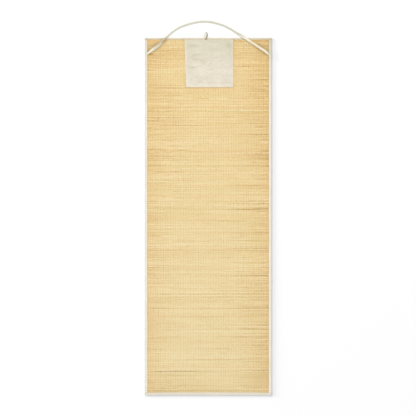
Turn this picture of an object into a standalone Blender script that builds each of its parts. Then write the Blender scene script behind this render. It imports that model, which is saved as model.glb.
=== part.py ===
"""Straw beach mat, laid out flat: a woven straw panel bound all round with folded canvas tape, a hemmed
canvas patch at its head, a carrying strap sewn into its long sides and a small closing loop.

The origin is on the floor under the middle of the mat, +Y runs towards the head and +Z is up.
Sizes and tables are in millimetres and degrees, and each mesh is brought to metres when it is finished."""

import math
from collections import namedtuple

import bmesh
import bpy
import numpy as np

MM = 0.001

MAT_WIDTH = 605.0
MAT_LENGTH = 1700.0
FOOT_BOW = 1.5
FOOT_BOW_REACH = 160.0

STRAW = 2.4
TAPE = 1.0
CANVAS = 1.0
GAP = 0.3

LEFT_LEG = 12.0
RIGHT_LEG = 15.0
HEAD_LEG = 9.5
FOOT_LEG = 11.0
CROWN = 2 * TAPE + STRAW + 2 * GAP
TAPE_ROUND = 1.4
TAPE_SHOULDER = 0.45
CLOSED_SLOT = 0.2
SIDE_SPACING = 105.0
END_SPACING = 62.0

EDGE_RISE = TAPE + GAP
EDGE_FLAT = 16.0
EDGE_SLOPE_END = 46.0
PANEL_EDGE_STATIONS = (TAPE + GAP, EDGE_FLAT, 26.0, 36.0, EDGE_SLOPE_END)
PANEL_COLUMN = 96.0
PANEL_ROW = 60.0
CLOSEST_ROWS = 5.0

# Where straws ride up across the panel: the middle of each rise, its half length along X, its height and
# its half width.
Ripple = namedtuple("Ripple", "x y half_run height half_width")
RIPPLES = (
    Ripple(-150, -723, 140, 1.5, 17),
    Ripple(-150, -751, 135, 1.2, 13),
    Ripple(90, -631, 90, 1.1, 18),
    Ripple(-190, -570, 105, 1.0, 20),
    Ripple(20, -474, 260, 1.0, 24),
    Ripple(150, -352, 130, 0.8, 22),
    Ripple(-60, -236, 210, 0.9, 26),
    Ripple(-215, 214, 85, 1.1, 19),
    Ripple(30, 303, 250, 0.9, 24),
    Ripple(-140, 434, 145, 1.2, 20),
    Ripple(175, 512, 105, 1.0, 22),
)

PATCH_LEFT_HEAD = -114.0
PATCH_LEFT_FOOT = -107.0
PATCH_RIGHT = 119.0
PATCH_FOOT = 614.0
PATCH_HEAD = MAT_LENGTH / 2 - 3.0
HEM = 10.0
HEM_EXTRA = 0.8
HEM_STEP = 1.5
PATCH_SPACING = 19.0
PATCH_SEAT_MARGIN = 4.0
PATCH_SEAT_RAMP = 9.0

# Soft wrinkles in the patch: the middle of each, its half lengths along X and Y, and its height.
Wrinkle = namedtuple("Wrinkle", "x y half_x half_y height")
WRINKLES = (
    Wrinkle(-62, 816, 46, 15, 1.5),
    Wrinkle(92, 812, 24, 20, 1.7),
    Wrinkle(-58, 757, 48, 15, 1.3),
    Wrinkle(52, 770, 52, 22, 0.9),
    Wrinkle(-70, 712, 36, 17, 1.1),
    Wrinkle(6, 728, 22, 26, 0.8),
    Wrinkle(60, 640, 55, 18, 1.2),
    Wrinkle(-40, 655, 40, 26, 0.7),
)

STRAP_WIDTH = 15.0
STRAP_THICKNESS = 1.5
STRAP_SPACING = 9.0
STRAP_SEAT_LIFT = STRAP_THICKNESS + 2 * GAP
STRAP_SEAT_HALF = 13.0
STRAP_SEAT_RAMP = 13.0
LEFT_SEAT_Y = 769.5
RIGHT_SEAT_Y = 767.5

# A tape's route: its middle line in plan, the height of its lower edge, and its turn about the line.
# A turn of 0 lies face up, and one of 90 or -90 stands on edge.
Stop = namedtuple("Stop", "x y low turn")
STRAP_ROUTE = (
    Stop(-294.0, 766.5, 4.0, 0),
    Stop(-287.5, 774.0, 4.1, 0),
    Stop(-281.0, 780.0, 4.5, 1),
    Stop(-272.9, 786.9, 5.3, 3),
    Stop(-261.2, 795.2, 6.3, 6),
    Stop(-242.1, 808.2, 7.0, 12),
    Stop(-230.4, 818.4, 7.0, 26),
    Stop(-217.4, 832.9, 6.4, 50),
    Stop(-205.0, 844.0, 5.8, 58),
    Stop(-194.2, 853.0, 5.2, 60),
    Stop(-179.6, 867.1, 2.0, 60),
    Stop(-157.7, 884.6, 0.0, 60),
    Stop(-137.0, 897.0, 0.0, 60),
    Stop(-108.6, 907.8, 0.0, 59),
    Stop(-80.0, 916.5, 0.0, 58),
    Stop(-51.7, 922.6, 0.0, 58),
    Stop(-20.0, 925.0, 0.0, 58),
    Stop(5.0, 924.0, 0.0, 58),
    Stop(33.3, 918.2, 0.0, 58),
    Stop(62.0, 909.9, 0.0, 58),
    Stop(76.5, 904.6, 0.0, 58),
    Stop(95.8, 894.6, 0.0, 58),
    Stop(113.6, 884.6, 0.0, 57),
    Stop(131.8, 872.5, 1.3, 50),
    Stop(151.9, 860.0, 4.8, 30),
    Stop(162.0, 853.6, 5.6, 14),
    Stop(171.4, 847.8, 5.8, -4),
    Stop(183.5, 840.8, 6.0, -26),
    Stop(196.5, 833.6, 6.3, -46),
    Stop(221.5, 817.6, 6.6, -55),
    Stop(255.1, 794.9, 6.2, -46),
    Stop(270.5, 783.6, 5.4, -34),
    Stop(279.5, 776.4, 4.6, -14),
    Stop(287.0, 770.3, 4.1, 0),
    Stop(295.0, 764.2, 4.0, 0),
)

LOOP_WIDTH = 7.0
LOOP_THICKNESS = 1.2
LOOP_SPACING = 3.2
LOOP_FOOT_LOW = CROWN + CANVAS + 2 * GAP
LOOP_FOOT_START = MAT_LENGTH / 2 - HEAD_LEG + 0.4
LOOP_ROUTE = (
    Stop(-16.7, LOOP_FOOT_START, LOOP_FOOT_LOW, 0),
    Stop(-16.7, 845.0, LOOP_FOOT_LOW, 0),
    Stop(-16.9, 849.6, LOOP_FOOT_LOW, -3),
    Stop(-18.2, 854.0, 5.2, -24),
    Stop(-19.8, 860.0, 2.6, -46),
    Stop(-19.0, 867.0, 0.9, -60),
    Stop(-16.0, 872.8, 0.1, -72),
    Stop(-11.9, 876.2, 0.0, -80),
    Stop(-8.5, 875.2, 0.0, -80),
    Stop(-6.4, 870.6, 0.2, -72),
    Stop(-5.5, 864.2, 1.2, -60),
    Stop(-5.9, 858.0, 3.2, -45),
    Stop(-7.6, 853.2, 5.5, -22),
    Stop(-8.9, 849.6, LOOP_FOOT_LOW, -3),
    Stop(-9.1, 845.0, LOOP_FOOT_LOW, 0),
    Stop(-9.1, LOOP_FOOT_START, LOOP_FOOT_LOW, 0),
)

STRAW_COLOUR = (232, 204, 150)
BINDING_COLOUR = (238, 231, 214)
PATCH_COLOUR = (229, 222, 201)
STRAP_COLOUR = (240, 229, 209)
LOOP_COLOUR = (203, 192, 166)
CLOTH_ROUGHNESS = 0.9
STRAW_ROUGHNESS = 0.6
SHARP_ANGLE = math.radians(35)
WELD = 0.003


def clear_scene():
    for item in list(bpy.data.objects):
        bpy.data.objects.remove(item)


def linear(channel):
    """An 8-bit display value as a linear share."""
    share = channel / 255
    return share / 12.92 if share <= 0.04045 else ((share + 0.055) / 1.055) ** 2.4


def plain_material(name, colour, roughness):
    material = bpy.data.materials.new(name)
    material.use_nodes = True
    shader = material.node_tree.nodes["Principled BSDF"]
    shader.inputs["Base Color"].default_value = (*map(linear, colour), 1)
    shader.inputs["Roughness"].default_value = roughness
    shader.inputs["Metallic"].default_value = 0.0
    return material


def finished(name, bm, material):
    """The mesh as an object of its own, in metres, with its faces outwards."""
    bmesh.ops.scale(bm, vec=(MM, MM, MM), verts=bm.verts)
    bmesh.ops.recalc_face_normals(bm, faces=bm.faces)
    mesh = bpy.data.meshes.new(name)
    bm.to_mesh(mesh)
    bm.free()
    mesh.materials.append(material)
    mesh.shade_smooth()
    mesh.set_sharp_from_angle(angle=SHARP_ANGLE)
    piece = bpy.data.objects.new(name, mesh)
    bpy.context.scene.collection.objects.link(piece)
    return piece


def smooth(share):
    """0 to 1 with level ends."""
    share = min(max(share, 0.0), 1.0)
    return share * share * (3 - 2 * share)


def bump(offset, half):
    """1 in the middle, 0 at half away and beyond."""
    return smooth(1 - abs(offset) / half)


def plateau(offset, half, ramp):
    """1 within half of the middle, falling to 0 over the ramp."""
    return smooth(1 - (abs(offset) - half) / ramp)


def stations(start, end, spacing, wanted=()):
    """Even stations from start to end with the wanted ones let in, none too near a wanted one."""
    count = max(1, round((end - start) / spacing))
    inside = [at for at in wanted if start < at < end]
    even = [start + (end - start) * step / count for step in range(1, count)]
    free = [at for at in even if all(abs(at - other) >= CLOSEST_ROWS for other in inside)]
    return [start, *sorted(inside + free), end]


def slab(name, across, along, place, thickness, material):
    """A closed sheet over a grid of stations, its underside at place(x, y), its top thickness(x, y) above."""
    bm = bmesh.new()
    columns = len(across)
    bmesh.ops.create_grid(bm, x_segments=columns - 1, y_segments=len(along) - 1, size=1)
    for index, vert in enumerate(bm.verts):
        row, column = divmod(index, columns)
        vert.co = place(across[column], along[row])
    grown = bmesh.ops.extrude_face_region(bm, geom=bm.faces[:])
    for item in grown["geom"]:
        if isinstance(item, bmesh.types.BMVert):
            item.co.z += thickness(item.co.x, item.co.y)
    return finished(name, bm, material)


def loft(name, sections, material):
    """A closed skin through section loops of equal length, its two ends filled."""
    bm = bmesh.new()
    around = len(sections[0])
    bmesh.ops.create_grid(bm, x_segments=around, y_segments=len(sections) - 1, size=1)
    for index, vert in enumerate(bm.verts):
        row, column = divmod(index, around + 1)
        vert.co = sections[row][column % around]
    bmesh.ops.remove_doubles(bm, verts=bm.verts, dist=WELD)
    bmesh.ops.holes_fill(bm, edges=bm.edges[:], sides=around)
    return finished(name, bm, material)


def foot_edge(x):
    """The mat's foot edge, which bows up a little in its middle."""
    return -MAT_LENGTH / 2 + FOOT_BOW * (1 - (2 * x / MAT_WIDTH) ** 2)


def straw_under(x, y):
    """The height of the straw's underside: the floor, but for the binding's lower legs and the ripples."""
    inset = min(MAT_WIDTH / 2 - abs(x), MAT_LENGTH / 2 - abs(y))
    edge = EDGE_RISE * (1 - smooth((inset - EDGE_FLAT) / (EDGE_SLOPE_END - EDGE_FLAT)))
    ripples = sum(
        ripple.height * bump(x - ripple.x, ripple.half_run) * bump(y - ripple.y, ripple.half_width)
        for ripple in RIPPLES
    )
    return edge + ripples


def straw_place(x, y):
    share = max(0.0, 1 - (y + MAT_LENGTH / 2) / FOOT_BOW_REACH)
    bow = (foot_edge(x) + MAT_LENGTH / 2) * share
    return x, y + bow, straw_under(x, y)


def straw_panel(material):
    half_width = MAT_WIDTH / 2
    half_length = MAT_LENGTH / 2
    outer = PANEL_EDGE_STATIONS[0]
    wanted_x = [side * (half_width - inset) for side in (-1, 1) for inset in PANEL_EDGE_STATIONS[1:]]
    wanted_y = [side * (half_length - inset) for side in (-1, 1) for inset in PANEL_EDGE_STATIONS[1:]]
    for ripple in RIPPLES:
        wanted_y += [ripple.y + ripple.half_width * share for share in (-1, -0.5, 0, 0.5, 1)]
    across = stations(outer - half_width, half_width - outer, PANEL_COLUMN, wanted_x)
    along = stations(outer - half_length, half_length - outer, PANEL_ROW, wanted_y)
    return slab("straw_panel", across, along, straw_place, lambda x, y: STRAW, material)


def tape_section(leg, crown, slot):
    """(inset, height) points round a folded tape: lower leg, fold, upper leg and back through the slot."""
    return (
        (leg, 0.0),
        (TAPE_ROUND, 0.0),
        (TAPE_SHOULDER, TAPE_SHOULDER),
        (0.0, TAPE_ROUND),
        (0.0, crown - TAPE_ROUND),
        (TAPE_SHOULDER, crown - TAPE_SHOULDER),
        (TAPE_ROUND, crown),
        (leg, crown),
        (leg, crown - TAPE),
        (slot, crown - TAPE),
        (slot, TAPE),
        (leg, TAPE),
    )


def side_binding(name, side, leg, seat_y, material):
    """A long side's tape, butted between the end tapes and raised where the strap's end is sewn in."""
    start = foot_edge(MAT_WIDTH / 2 - leg) + FOOT_LEG + GAP
    end = MAT_LENGTH / 2 - HEAD_LEG - GAP
    reach = STRAP_SEAT_HALF + STRAP_SEAT_RAMP
    wanted = [seat_y + share * reach for share in (-1, -0.75, -0.5, 0, 0.5, 0.75, 1)]
    sections = []
    for y in stations(start, end, SIDE_SPACING, wanted):
        lift = STRAP_SEAT_LIFT * plateau(y - seat_y, STRAP_SEAT_HALF, STRAP_SEAT_RAMP)
        outline = tape_section(leg, CROWN + lift, TAPE)
        sections.append([(side * (MAT_WIDTH / 2 - inset), y, height) for inset, height in outline])
    return loft(name, sections, material)


def end_binding(name, edge, side, leg, lift, wanted, material):
    """The head's or foot's tape, right across the mat, with its two ends closed."""
    half_width = MAT_WIDTH / 2
    closed = half_width - TAPE
    open_from = closed - CLOSED_SLOT
    sections = []
    across = [-half_width, -closed, *stations(-open_from, open_from, END_SPACING, wanted), closed, half_width]
    for x in across:
        slot = TAPE if abs(x) <= open_from else leg - CLOSED_SLOT
        outline = tape_section(leg, CROWN + lift(x), slot)
        sections.append([(x, edge(x) + side * inset, height) for inset, height in outline])
    return loft(name, sections, material)


def patch_seat_lift(x):
    """How far the head tape's upper leg is raised over the patch."""
    middle = (PATCH_LEFT_HEAD + PATCH_RIGHT) / 2
    half = (PATCH_RIGHT - PATCH_LEFT_HEAD) / 2 + PATCH_SEAT_MARGIN
    return (CANVAS + GAP) * plateau(x - middle, half, PATCH_SEAT_RAMP)


def head_binding(material):
    reach = PATCH_SEAT_MARGIN + PATCH_SEAT_RAMP
    wanted = []
    for at, side in ((PATCH_LEFT_HEAD, -1), (PATCH_RIGHT, 1)):
        halfway = (reach + PATCH_SEAT_MARGIN) / 2
        wanted += [at + side * inset for inset in (PATCH_SEAT_MARGIN, halfway, reach)]
    half_length = MAT_LENGTH / 2
    return end_binding(
        "head_binding", lambda x: half_length, -1, HEAD_LEG, patch_seat_lift, wanted, material
    )


def foot_binding(material):
    return end_binding("foot_binding", foot_edge, 1, FOOT_LEG, lambda x: 0.0, (), material)


def patch_place(x, y):
    """The patch's underside, its left edge leaning inwards towards the foot."""
    from_right = (PATCH_RIGHT - x) / (PATCH_RIGHT - PATCH_LEFT_HEAD)
    towards_foot = (PATCH_HEAD - y) / (PATCH_HEAD - PATCH_FOOT)
    lean = (PATCH_LEFT_FOOT - PATCH_LEFT_HEAD) * from_right * towards_foot
    wrinkles = sum(
        wrinkle.height * bump(x - wrinkle.x, wrinkle.half_x) * bump(y - wrinkle.y, wrinkle.half_y)
        for wrinkle in WRINKLES
    )
    return x + lean, y, straw_under(x + lean, y) + STRAW + GAP + wrinkles


def patch_thickness(x, y):
    """One layer of canvas, with the turned hem's extra layers along both sides and the foot."""
    towards_foot = (PATCH_HEAD - y) / (PATCH_HEAD - PATCH_FOOT)
    left = PATCH_LEFT_HEAD + (PATCH_LEFT_FOOT - PATCH_LEFT_HEAD) * towards_foot
    inset = min(x - left, PATCH_RIGHT - x, y - PATCH_FOOT)
    hem = 1 - smooth((inset - HEM) / HEM_STEP)
    below_binding = smooth((MAT_LENGTH / 2 - HEAD_LEG - GAP - y) / HEM_STEP)
    return CANVAS + HEM_EXTRA * hem * below_binding


def canvas_patch(material):
    hem_end = HEM + HEM_STEP
    tuck = MAT_LENGTH / 2 - HEAD_LEG - GAP
    wanted_x = [PATCH_LEFT_HEAD + HEM, PATCH_LEFT_HEAD + hem_end, PATCH_RIGHT - hem_end, PATCH_RIGHT - HEM]
    wanted_y = [PATCH_FOOT + HEM, PATCH_FOOT + hem_end, tuck - HEM_STEP, tuck]
    across = stations(PATCH_LEFT_HEAD, PATCH_RIGHT, PATCH_SPACING, wanted_x)
    along = stations(PATCH_FOOT, PATCH_HEAD, PATCH_SPACING, wanted_y)
    return slab("canvas_patch", across, along, patch_place, patch_thickness, material)


def smooth_route(stops, spacing):
    """Points at an even spacing, with turns, on one smooth curve through the stops."""
    rows = np.array(stops, float)
    lengths = np.linalg.norm(np.diff(rows[:, :2], axis=0), axis=1)
    reach = np.concatenate([[0.0], np.cumsum(lengths)])
    slopes = np.gradient(rows, reach, axis=0)
    places = np.linspace(0, reach[-1], round(reach[-1] / spacing) + 1)
    span = np.clip(np.searchsorted(reach, places, side="right") - 1, 0, len(reach) - 2)
    length = lengths[span][:, None]
    share = (places - reach[span])[:, None] / length
    start_weight = 2 * share**3 - 3 * share**2 + 1
    start_slope_weight = share**3 - 2 * share**2 + share
    end_slope_weight = share**3 - share**2
    return (
        start_weight * rows[span]
        + (1 - start_weight) * rows[span + 1]
        + length * (start_slope_weight * slopes[span] + end_slope_weight * slopes[span + 1])
    )


def flat_tape(name, stops, width, thickness, spacing, material):
    """A tape of even width along its route, turning on edge and back as the stops say."""
    route = smooth_route(stops, spacing)
    heading = np.gradient(route[:, :2], axis=0)
    heading /= np.linalg.norm(heading, axis=1)[:, None]
    half = width / 2
    rim = thickness / 4
    outline = (
        (-half, -thickness / 2 + rim),
        (-half + rim, -thickness / 2),
        (half - rim, -thickness / 2),
        (half, -thickness / 2 + rim),
        (half, thickness / 2 - rim),
        (half - rim, thickness / 2),
        (-half + rim, thickness / 2),
        (-half, thickness / 2 - rim),
    )
    sections = []
    for (x, y, low, turn), (east, north) in zip(route, heading):
        cosine = math.cos(math.radians(turn))
        sine = math.sin(math.radians(turn))
        rises = [across * sine + up * cosine for across, up in outline]
        middle = max(low, 0.0) - min(rises)
        section = []
        for (across, up), rise in zip(outline, rises):
            aside = across * cosine - up * sine
            section.append((x - north * aside, y + east * aside, middle + rise))
        sections.append(section)
    return loft(name, sections, material)


def main():
    clear_scene()
    straw = plain_material("straw", STRAW_COLOUR, STRAW_ROUGHNESS)
    binding = plain_material("binding_tape", BINDING_COLOUR, CLOTH_ROUGHNESS)
    canvas = plain_material("patch_canvas", PATCH_COLOUR, CLOTH_ROUGHNESS)
    webbing = plain_material("strap_webbing", STRAP_COLOUR, CLOTH_ROUGHNESS)
    loop_tape = plain_material("loop_tape", LOOP_COLOUR, CLOTH_ROUGHNESS)
    straw_panel(straw)
    side_binding("side_binding_left", -1, LEFT_LEG, LEFT_SEAT_Y, binding)
    side_binding("side_binding_right", 1, RIGHT_LEG, RIGHT_SEAT_Y, binding)
    head_binding(binding)
    foot_binding(binding)
    canvas_patch(canvas)
    flat_tape("carry_strap", STRAP_ROUTE, STRAP_WIDTH, STRAP_THICKNESS, STRAP_SPACING, webbing)
    flat_tape("closing_loop", LOOP_ROUTE, LOOP_WIDTH, LOOP_THICKNESS, LOOP_SPACING, loop_tape)


main()
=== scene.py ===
import math
from collections import namedtuple

import bmesh
import bpy
import numpy as np
from mathutils import Matrix


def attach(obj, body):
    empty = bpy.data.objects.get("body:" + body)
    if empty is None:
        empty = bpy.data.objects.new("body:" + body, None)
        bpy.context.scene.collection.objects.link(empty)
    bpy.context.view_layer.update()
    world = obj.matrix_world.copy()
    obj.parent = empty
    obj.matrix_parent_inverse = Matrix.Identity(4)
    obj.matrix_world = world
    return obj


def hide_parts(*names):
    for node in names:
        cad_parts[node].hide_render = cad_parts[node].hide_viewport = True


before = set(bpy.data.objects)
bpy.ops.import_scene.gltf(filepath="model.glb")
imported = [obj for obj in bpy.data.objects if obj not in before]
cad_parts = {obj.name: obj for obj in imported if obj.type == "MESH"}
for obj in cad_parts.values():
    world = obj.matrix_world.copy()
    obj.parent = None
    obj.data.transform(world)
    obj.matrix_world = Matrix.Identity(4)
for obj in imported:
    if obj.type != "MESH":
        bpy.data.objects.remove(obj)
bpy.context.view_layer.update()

# A straw beach mat, laid flat and seen from straight above. Sizes and tables are in millimetres and degrees,
# and a piece is brought to metres when it is finished. +Y runs towards the mat's head and +Z is up.
MM = 0.001


def rows_of(kind, *rows):
    """A table whose columns have names."""
    return [kind(*row) for row in rows]


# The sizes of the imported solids, but for the four legs, which are fitted a little finer to the photo.
MAT_WIDTH = 605.0
MAT_LENGTH = 1700.0
FOOT_BOW = 1.5
FOOT_BOW_REACH = 160.0
STRAW = 2.4
TAPE = 1.0
CANVAS = 1.0
GAP = 0.3
LEFT_LEG = 12.4
RIGHT_LEG = 15.4
HEAD_LEG = 9.0
FOOT_LEG = 11.7
CROWN = 2 * TAPE + STRAW + 2 * GAP
HEAD_TAPE_EDGE = MAT_LENGTH / 2 - HEAD_LEG - GAP
EDGE_RISE = TAPE + GAP
EDGE_FLAT = 16.0
EDGE_SLOPE_END = 46.0

# A soft spot: its middle, its turn, its half length, its half width, and how much it adds in its middle.
Spot = namedtuple("Spot", "x y turn half_run half_width amount")
# Where straws ride up across the panel, in millimetres.
RIPPLES = rows_of(
    Spot,
    (-150, -723, 0, 140, 17, 1.5), (-150, -751, 0, 135, 13, 1.2), (90, -631, 0, 90, 18, 1.1),
    (-190, -570, 0, 105, 20, 1.0), (20, -474, 0, 260, 24, 1.0), (150, -352, 0, 130, 22, 0.8),
    (-60, -236, 0, 210, 26, 0.9), (-215, 214, 0, 85, 19, 1.1), (30, 303, 0, 250, 24, 0.9),
    (-140, 434, 0, 145, 20, 1.2), (175, 512, 0, 105, 22, 1.0),
)

# The weave: one row of straw after another across the mat, over and under warp threads that run its length.
STEM_COUNT = 385
STEM_INSET = 3.6
STEM_SPREAD = 0.22
STEM_FILL = 1.1
STEM_HALF_THICK = 0.78
STEM_SWAY = 0.3
WARP_COUNT = 49
WARP_PITCH = (MAT_WIDTH - 2 * STEM_INSET) / (WARP_COUNT + 1)
WARP_RADIUS = 0.42
WARP_RISE = 0.7
FLOOR_GAP = 0.02
WEAVE_SEED = 20

# Slow changes along the rows and threads: how much, and how far apart their knots lie. The rows flow up and
# down together, but lie straight towards the head and the foot.
Change = namedtuple("Change", "amount knot")
ROW_FLOW = 0.42
ROW_FLOW_KNOTS = (45, 130)
ROW_WAVER = Change(0.12, 60)
ROW_LIFT = Change(0.1, 90)
ROW_FULLNESS = Change(0.07, 80)
ROW_THICKNESS = Change(0.1, 80)
STRAIGHT_RIM = 30
THREAD_WANDER = Change(1.1, 18)

# How much the straw's tone differs from row to row and place to place, and in streaks and patches.
ROW_TONE = 0.6
PLACE_TONE = 0.2
STREAKS = rows_of(Change, (0.75, 260), (0.45, 90), (0.45, 28))
ROW_CONTRAST = 0.12
PATCHY = 0.35
PATCHY_KNOTS = (60, 150)
HEAD_CALM = 0.3
HEAD_CALM_FROM = 480
HEAD_CALM_RAMP = 200
MIDDLE_CONTRAST = 0.72
SIDE_CONTRAST = 0.85
ROW_HUE = 0.6
HUE_STREAK = Change(0.5, 120)

# How much of each warp thread shows through the straw, and the share of the bake's map for upper faces.
SHOWN_KNOT = 7
SHOWN_SPREAD = 0.7
ROWS_ON_TOP = 0.8
THREADS_ON_TOP = 0.5
# The rows' own numbers, spread so that neighbours have different fibre.
ROW_NUMBER_STEP = 0.618034
ROW_NUMBER_RANGE = 100

# Rows that stand out: the middle of each mark, its half length along X and how dark it is, or how
# light where it is negative.
MARK_REACH = 2.4
MARK_GAIN = 1.6
Mark = namedtuple("Mark", "x y half_run depth")
MARKS = rows_of(
    Mark,
    (-150, -739, 150, 3.4), (60, -739, 120, 0.9), (-150, -744, 130, -1.0), (-140, -758, 110, 1.2),
    (-70, -805, 150, 1.2), (210, -806, 90, 1.0), (200, -768, 70, 0.8), (20, -681, 170, 0.9),
    (-240, -634, 50, 0.9), (70, -630, 55, 0.9), (240, -614, 45, 1.0), (-195, -572, 80, 1.3),
    (95, -572, 130, 1.0), (190, -534, 60, 0.9), (-170, -510, 90, 0.9), (-20, -478, 270, 1.0),
    (200, -478, 80, 1.0), (-240, -438, 45, 1.2), (225, -446, 60, 1.0), (60, -438, 130, 0.7),
    (-235, -127, 70, 1.4), (180, -162, 70, 0.9), (200, -91, 75, 0.9), (-250, -91, 40, 1.5),
    (110, -20, 85, 1.1), (175, 31, 100, 1.7), (-240, 33, 45, 0.9), (100, 70, 150, 0.8),
    (170, 148, 110, 0.9), (-145, 170, 130, 1.0), (-200, 214, 90, 1.5), (218, 261, 65, 1.0),
    (-30, 304, 75, 0.7), (-252, 322, 36, 1.2), (212, 352, 70, 0.9), (-130, 433, 150, 1.9),
    (245, 428, 35, 1.1), (-180, 462, 100, 0.9), (220, 461, 60, 1.0), (-200, 494, 85, 0.8),
    (-190, 575, 85, 0.8), (240, 604, 45, 1.1), (190, 713, 80, 1.0), (-175, 713, 90, 0.8),
    (-185, 789, 60, 1.0), (-150, 442, 120, -0.8), (-110, 561, 70, -1.0), (50, 561, 56, -1.0),
    (-60, 516, 110, -1.2), (-200, 781, 100, 1.3), (195, 781, 80, 1.6), (-200, 776, 90, 0.9),
    # The marks at -281 and -278 along X are painted shade under the strap's left end.
    (200, 776, 75, 0.9), (-281, 770, 22, 6.0), (-278, 774.5, 14, 3.0), (-190, 747, 90, 1.0),
    (-215, 704, 60, 1.0), (-205, 694, 80, -1.3), (-200, 608, 90, 1.0), (210, 608, 70, 0.7),
    (240, 631, 36, 1.2), (-200, 543, 80, 0.9), (215, 530, 70, 1.1), (165, 785, 90, 0.6),
)

# Soft marks in the straw, darker, or lighter where the amount is negative. The last nine lie beside the
# strap and are painted shade and painted light, deepening its shadow on the straw in some places and
# lightening it in others.
STRAW_SPOTS_AND_SHADE = rows_of(
    Spot,
    (-60, -668, 0, 330, 62, -1.15), (-60, -510, 0, 330, 110, -0.5), (290, -760, 0, 160, 110, 1.5),
    (0, -829, 0, 1200, 10, 2.9), (0, -811, 0, 1200, 8, 0.9), (-300, -520, 0, 120, 140, 0.8),
    (260, -640, 0, 170, 200, 0.9), (-200, -800, 0, 220, 60, 0.9), (0, -790, 0, 400, 60, 0.2),
    (0, 778, 0, 700, 55, 0.5), (-300, 510, 0, 110, 120, -0.7), (0, -850, 0, 420, 50, 0.3),
    (-290, 220, 0, 90, 260, 0.25), (290, 60, 0, 100, 160, -0.4), (225, 765, 0, 60, 50, -0.7),
    (-210, 770, 0, 110, 60, 0.4), (0, 500, 0, 260, 150, 0.1), (174, 835, -33, 26, 9, -6.0),
    (187, 830, -36, 16, 8, -4.0), (207, 812, -37, 34, 14, -3.8), (238, 820, -34, 22, 8, 2.6),
    (-211, 829, 51, 20, 7, 2.2), (-190, 828, 60, 16, 10, -1.8), (-246, 793, 33, 22, 9, -3.0),
    (-235, 838, 0, 26, 9, -2.8), (273, 759, 0, 20, 8, -2.4),
)
# The one place where the straw is rosier.
ROSY_CORNER = Spot(-252, 828, 0, 36, 22, -3)

# The patch's edges, its turned hem with a seam, and how the hem is rounded and bleached.
PATCH_LEFT_HEAD = -114.0
PATCH_LEFT_FOOT = -107.0
PATCH_RIGHT = 119.0
PATCH_FOOT = 614.0
PATCH_HEAD = MAT_LENGTH / 2 - 3.0
HEM = 10.0
HEM_EXTRA = 0.55
HEM_STEP = 1.5
HEM_SEAM = 7.6
HEM_SEAM_HALF = 1.3
HEM_SEAM_DEPTH = 0.25
HEM_ROUND = 1.4
HEM_THINNED = 0.45
HEM_BLEACH = 0.35
PATCH_GRID = 3.0

# Soft wrinkles in the patch, in millimetres.
WRINKLES = rows_of(
    Spot,
    (-62, 816, 0, 46, 15, 1.5), (92, 812, 0, 24, 20, 1.7), (-58, 757, 0, 48, 15, 1.3),
    (52, 770, 0, 52, 22, 0.9), (-70, 712, 0, 36, 17, 1.1), (6, 728, 0, 22, 26, 0.8),
    (60, 640, 0, 55, 18, 1.2), (-40, 655, 0, 40, 26, 0.7),
)

# The strap's gathered ends, and where and how far the side tapes are raised over them.
STRAP_THICKNESS = 1.5
STRAP_PINCH_REACH = 46.0
STRAP_SEAT_LIFT = STRAP_THICKNESS + 2 * GAP
STRAP_SEAT_HALF = 13.0
STRAP_SEAT_RAMP = 13.0
LEFT_SEAT_Y = 771.5
RIGHT_SEAT_Y = 767.5

# A tape's route: its middle line in plan, the height of its lower edge, and its turn about the line.
# A turn of 0 lies face up, and one of 90 or -90 stands on edge.
Stop = namedtuple("Stop", "x y low turn")
STRAP_ROUTE = rows_of(
    Stop,
    (-294.5, 767.5, 4.0, 0), (-288.5, 774.4, 4.1, 0), (-281.2, 780.0, 4.5, 1), (-272.2, 787.4, 5.3, 3),
    (-260.8, 795.2, 6.3, 6), (-242.1, 808.2, 7.0, 12), (-230.4, 818.4, 7.0, 26), (-217.4, 832.9, 6.4, 50),
    (-205.0, 844.0, 5.8, 58), (-194.2, 853.0, 5.2, 60), (-179.6, 867.1, 2.0, 60),
    (-157.7, 884.6, 0.0, 60), (-137.0, 897.0, 0.0, 60), (-108.6, 907.8, 0.0, 59), (-80.0, 916.5, 0.0, 58),
    (-51.7, 922.6, 0.0, 58), (-20.0, 925.0, 0.0, 58), (5.0, 924.0, 0.0, 58), (33.3, 918.2, 0.0, 58),
    (62.0, 909.9, 0.0, 58), (76.5, 904.6, 0.0, 58), (95.8, 894.6, 0.0, 58), (113.6, 884.6, 0.0, 57),
    (131.8, 872.5, 1.3, 50), (151.9, 860.0, 4.8, 30), (162.0, 853.6, 5.6, 14), (171.8, 848.4, 5.8, -14),
    (183.7, 841.0, 6.0, -34), (196.2, 833.0, 6.3, -44), (220.7, 816.5, 6.6, -46),
    (254.7, 794.3, 6.2, -40), (270.6, 784.0, 5.4, -30), (279.5, 776.4, 4.6, -14), (287.0, 770.3, 4.1, 0),
    (295.0, 764.2, 4.0, 0),
)

LOOP_FOOT_LOW = CROWN + CANVAS + 2 * GAP
LOOP_FOOT_START = MAT_LENGTH / 2 - HEAD_LEG + 0.4
LOOP_ROUTE = rows_of(
    Stop,
    (-16.7, LOOP_FOOT_START, LOOP_FOOT_LOW, 0), (-16.7, 845.0, LOOP_FOOT_LOW, 0),
    (-16.9, 849.6, LOOP_FOOT_LOW, -3), (-18.2, 854.0, 5.2, -24), (-19.8, 860.0, 2.6, -46),
    (-19.0, 867.0, 0.9, -60), (-16.0, 872.8, 0.1, -72), (-11.9, 876.2, 0.0, -80), (-8.5, 875.2, 0.0, -80),
    (-6.4, 870.6, 0.2, -72), (-5.5, 864.2, 1.2, -60), (-5.9, 858.0, 3.2, -45), (-7.6, 853.2, 5.5, -22),
    (-8.9, 849.6, LOOP_FOOT_LOW, -3), (-9.1, 845.0, LOOP_FOOT_LOW, 0),
    (-9.1, LOOP_FOOT_START, LOOP_FOOT_LOW, 0),
)
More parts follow.
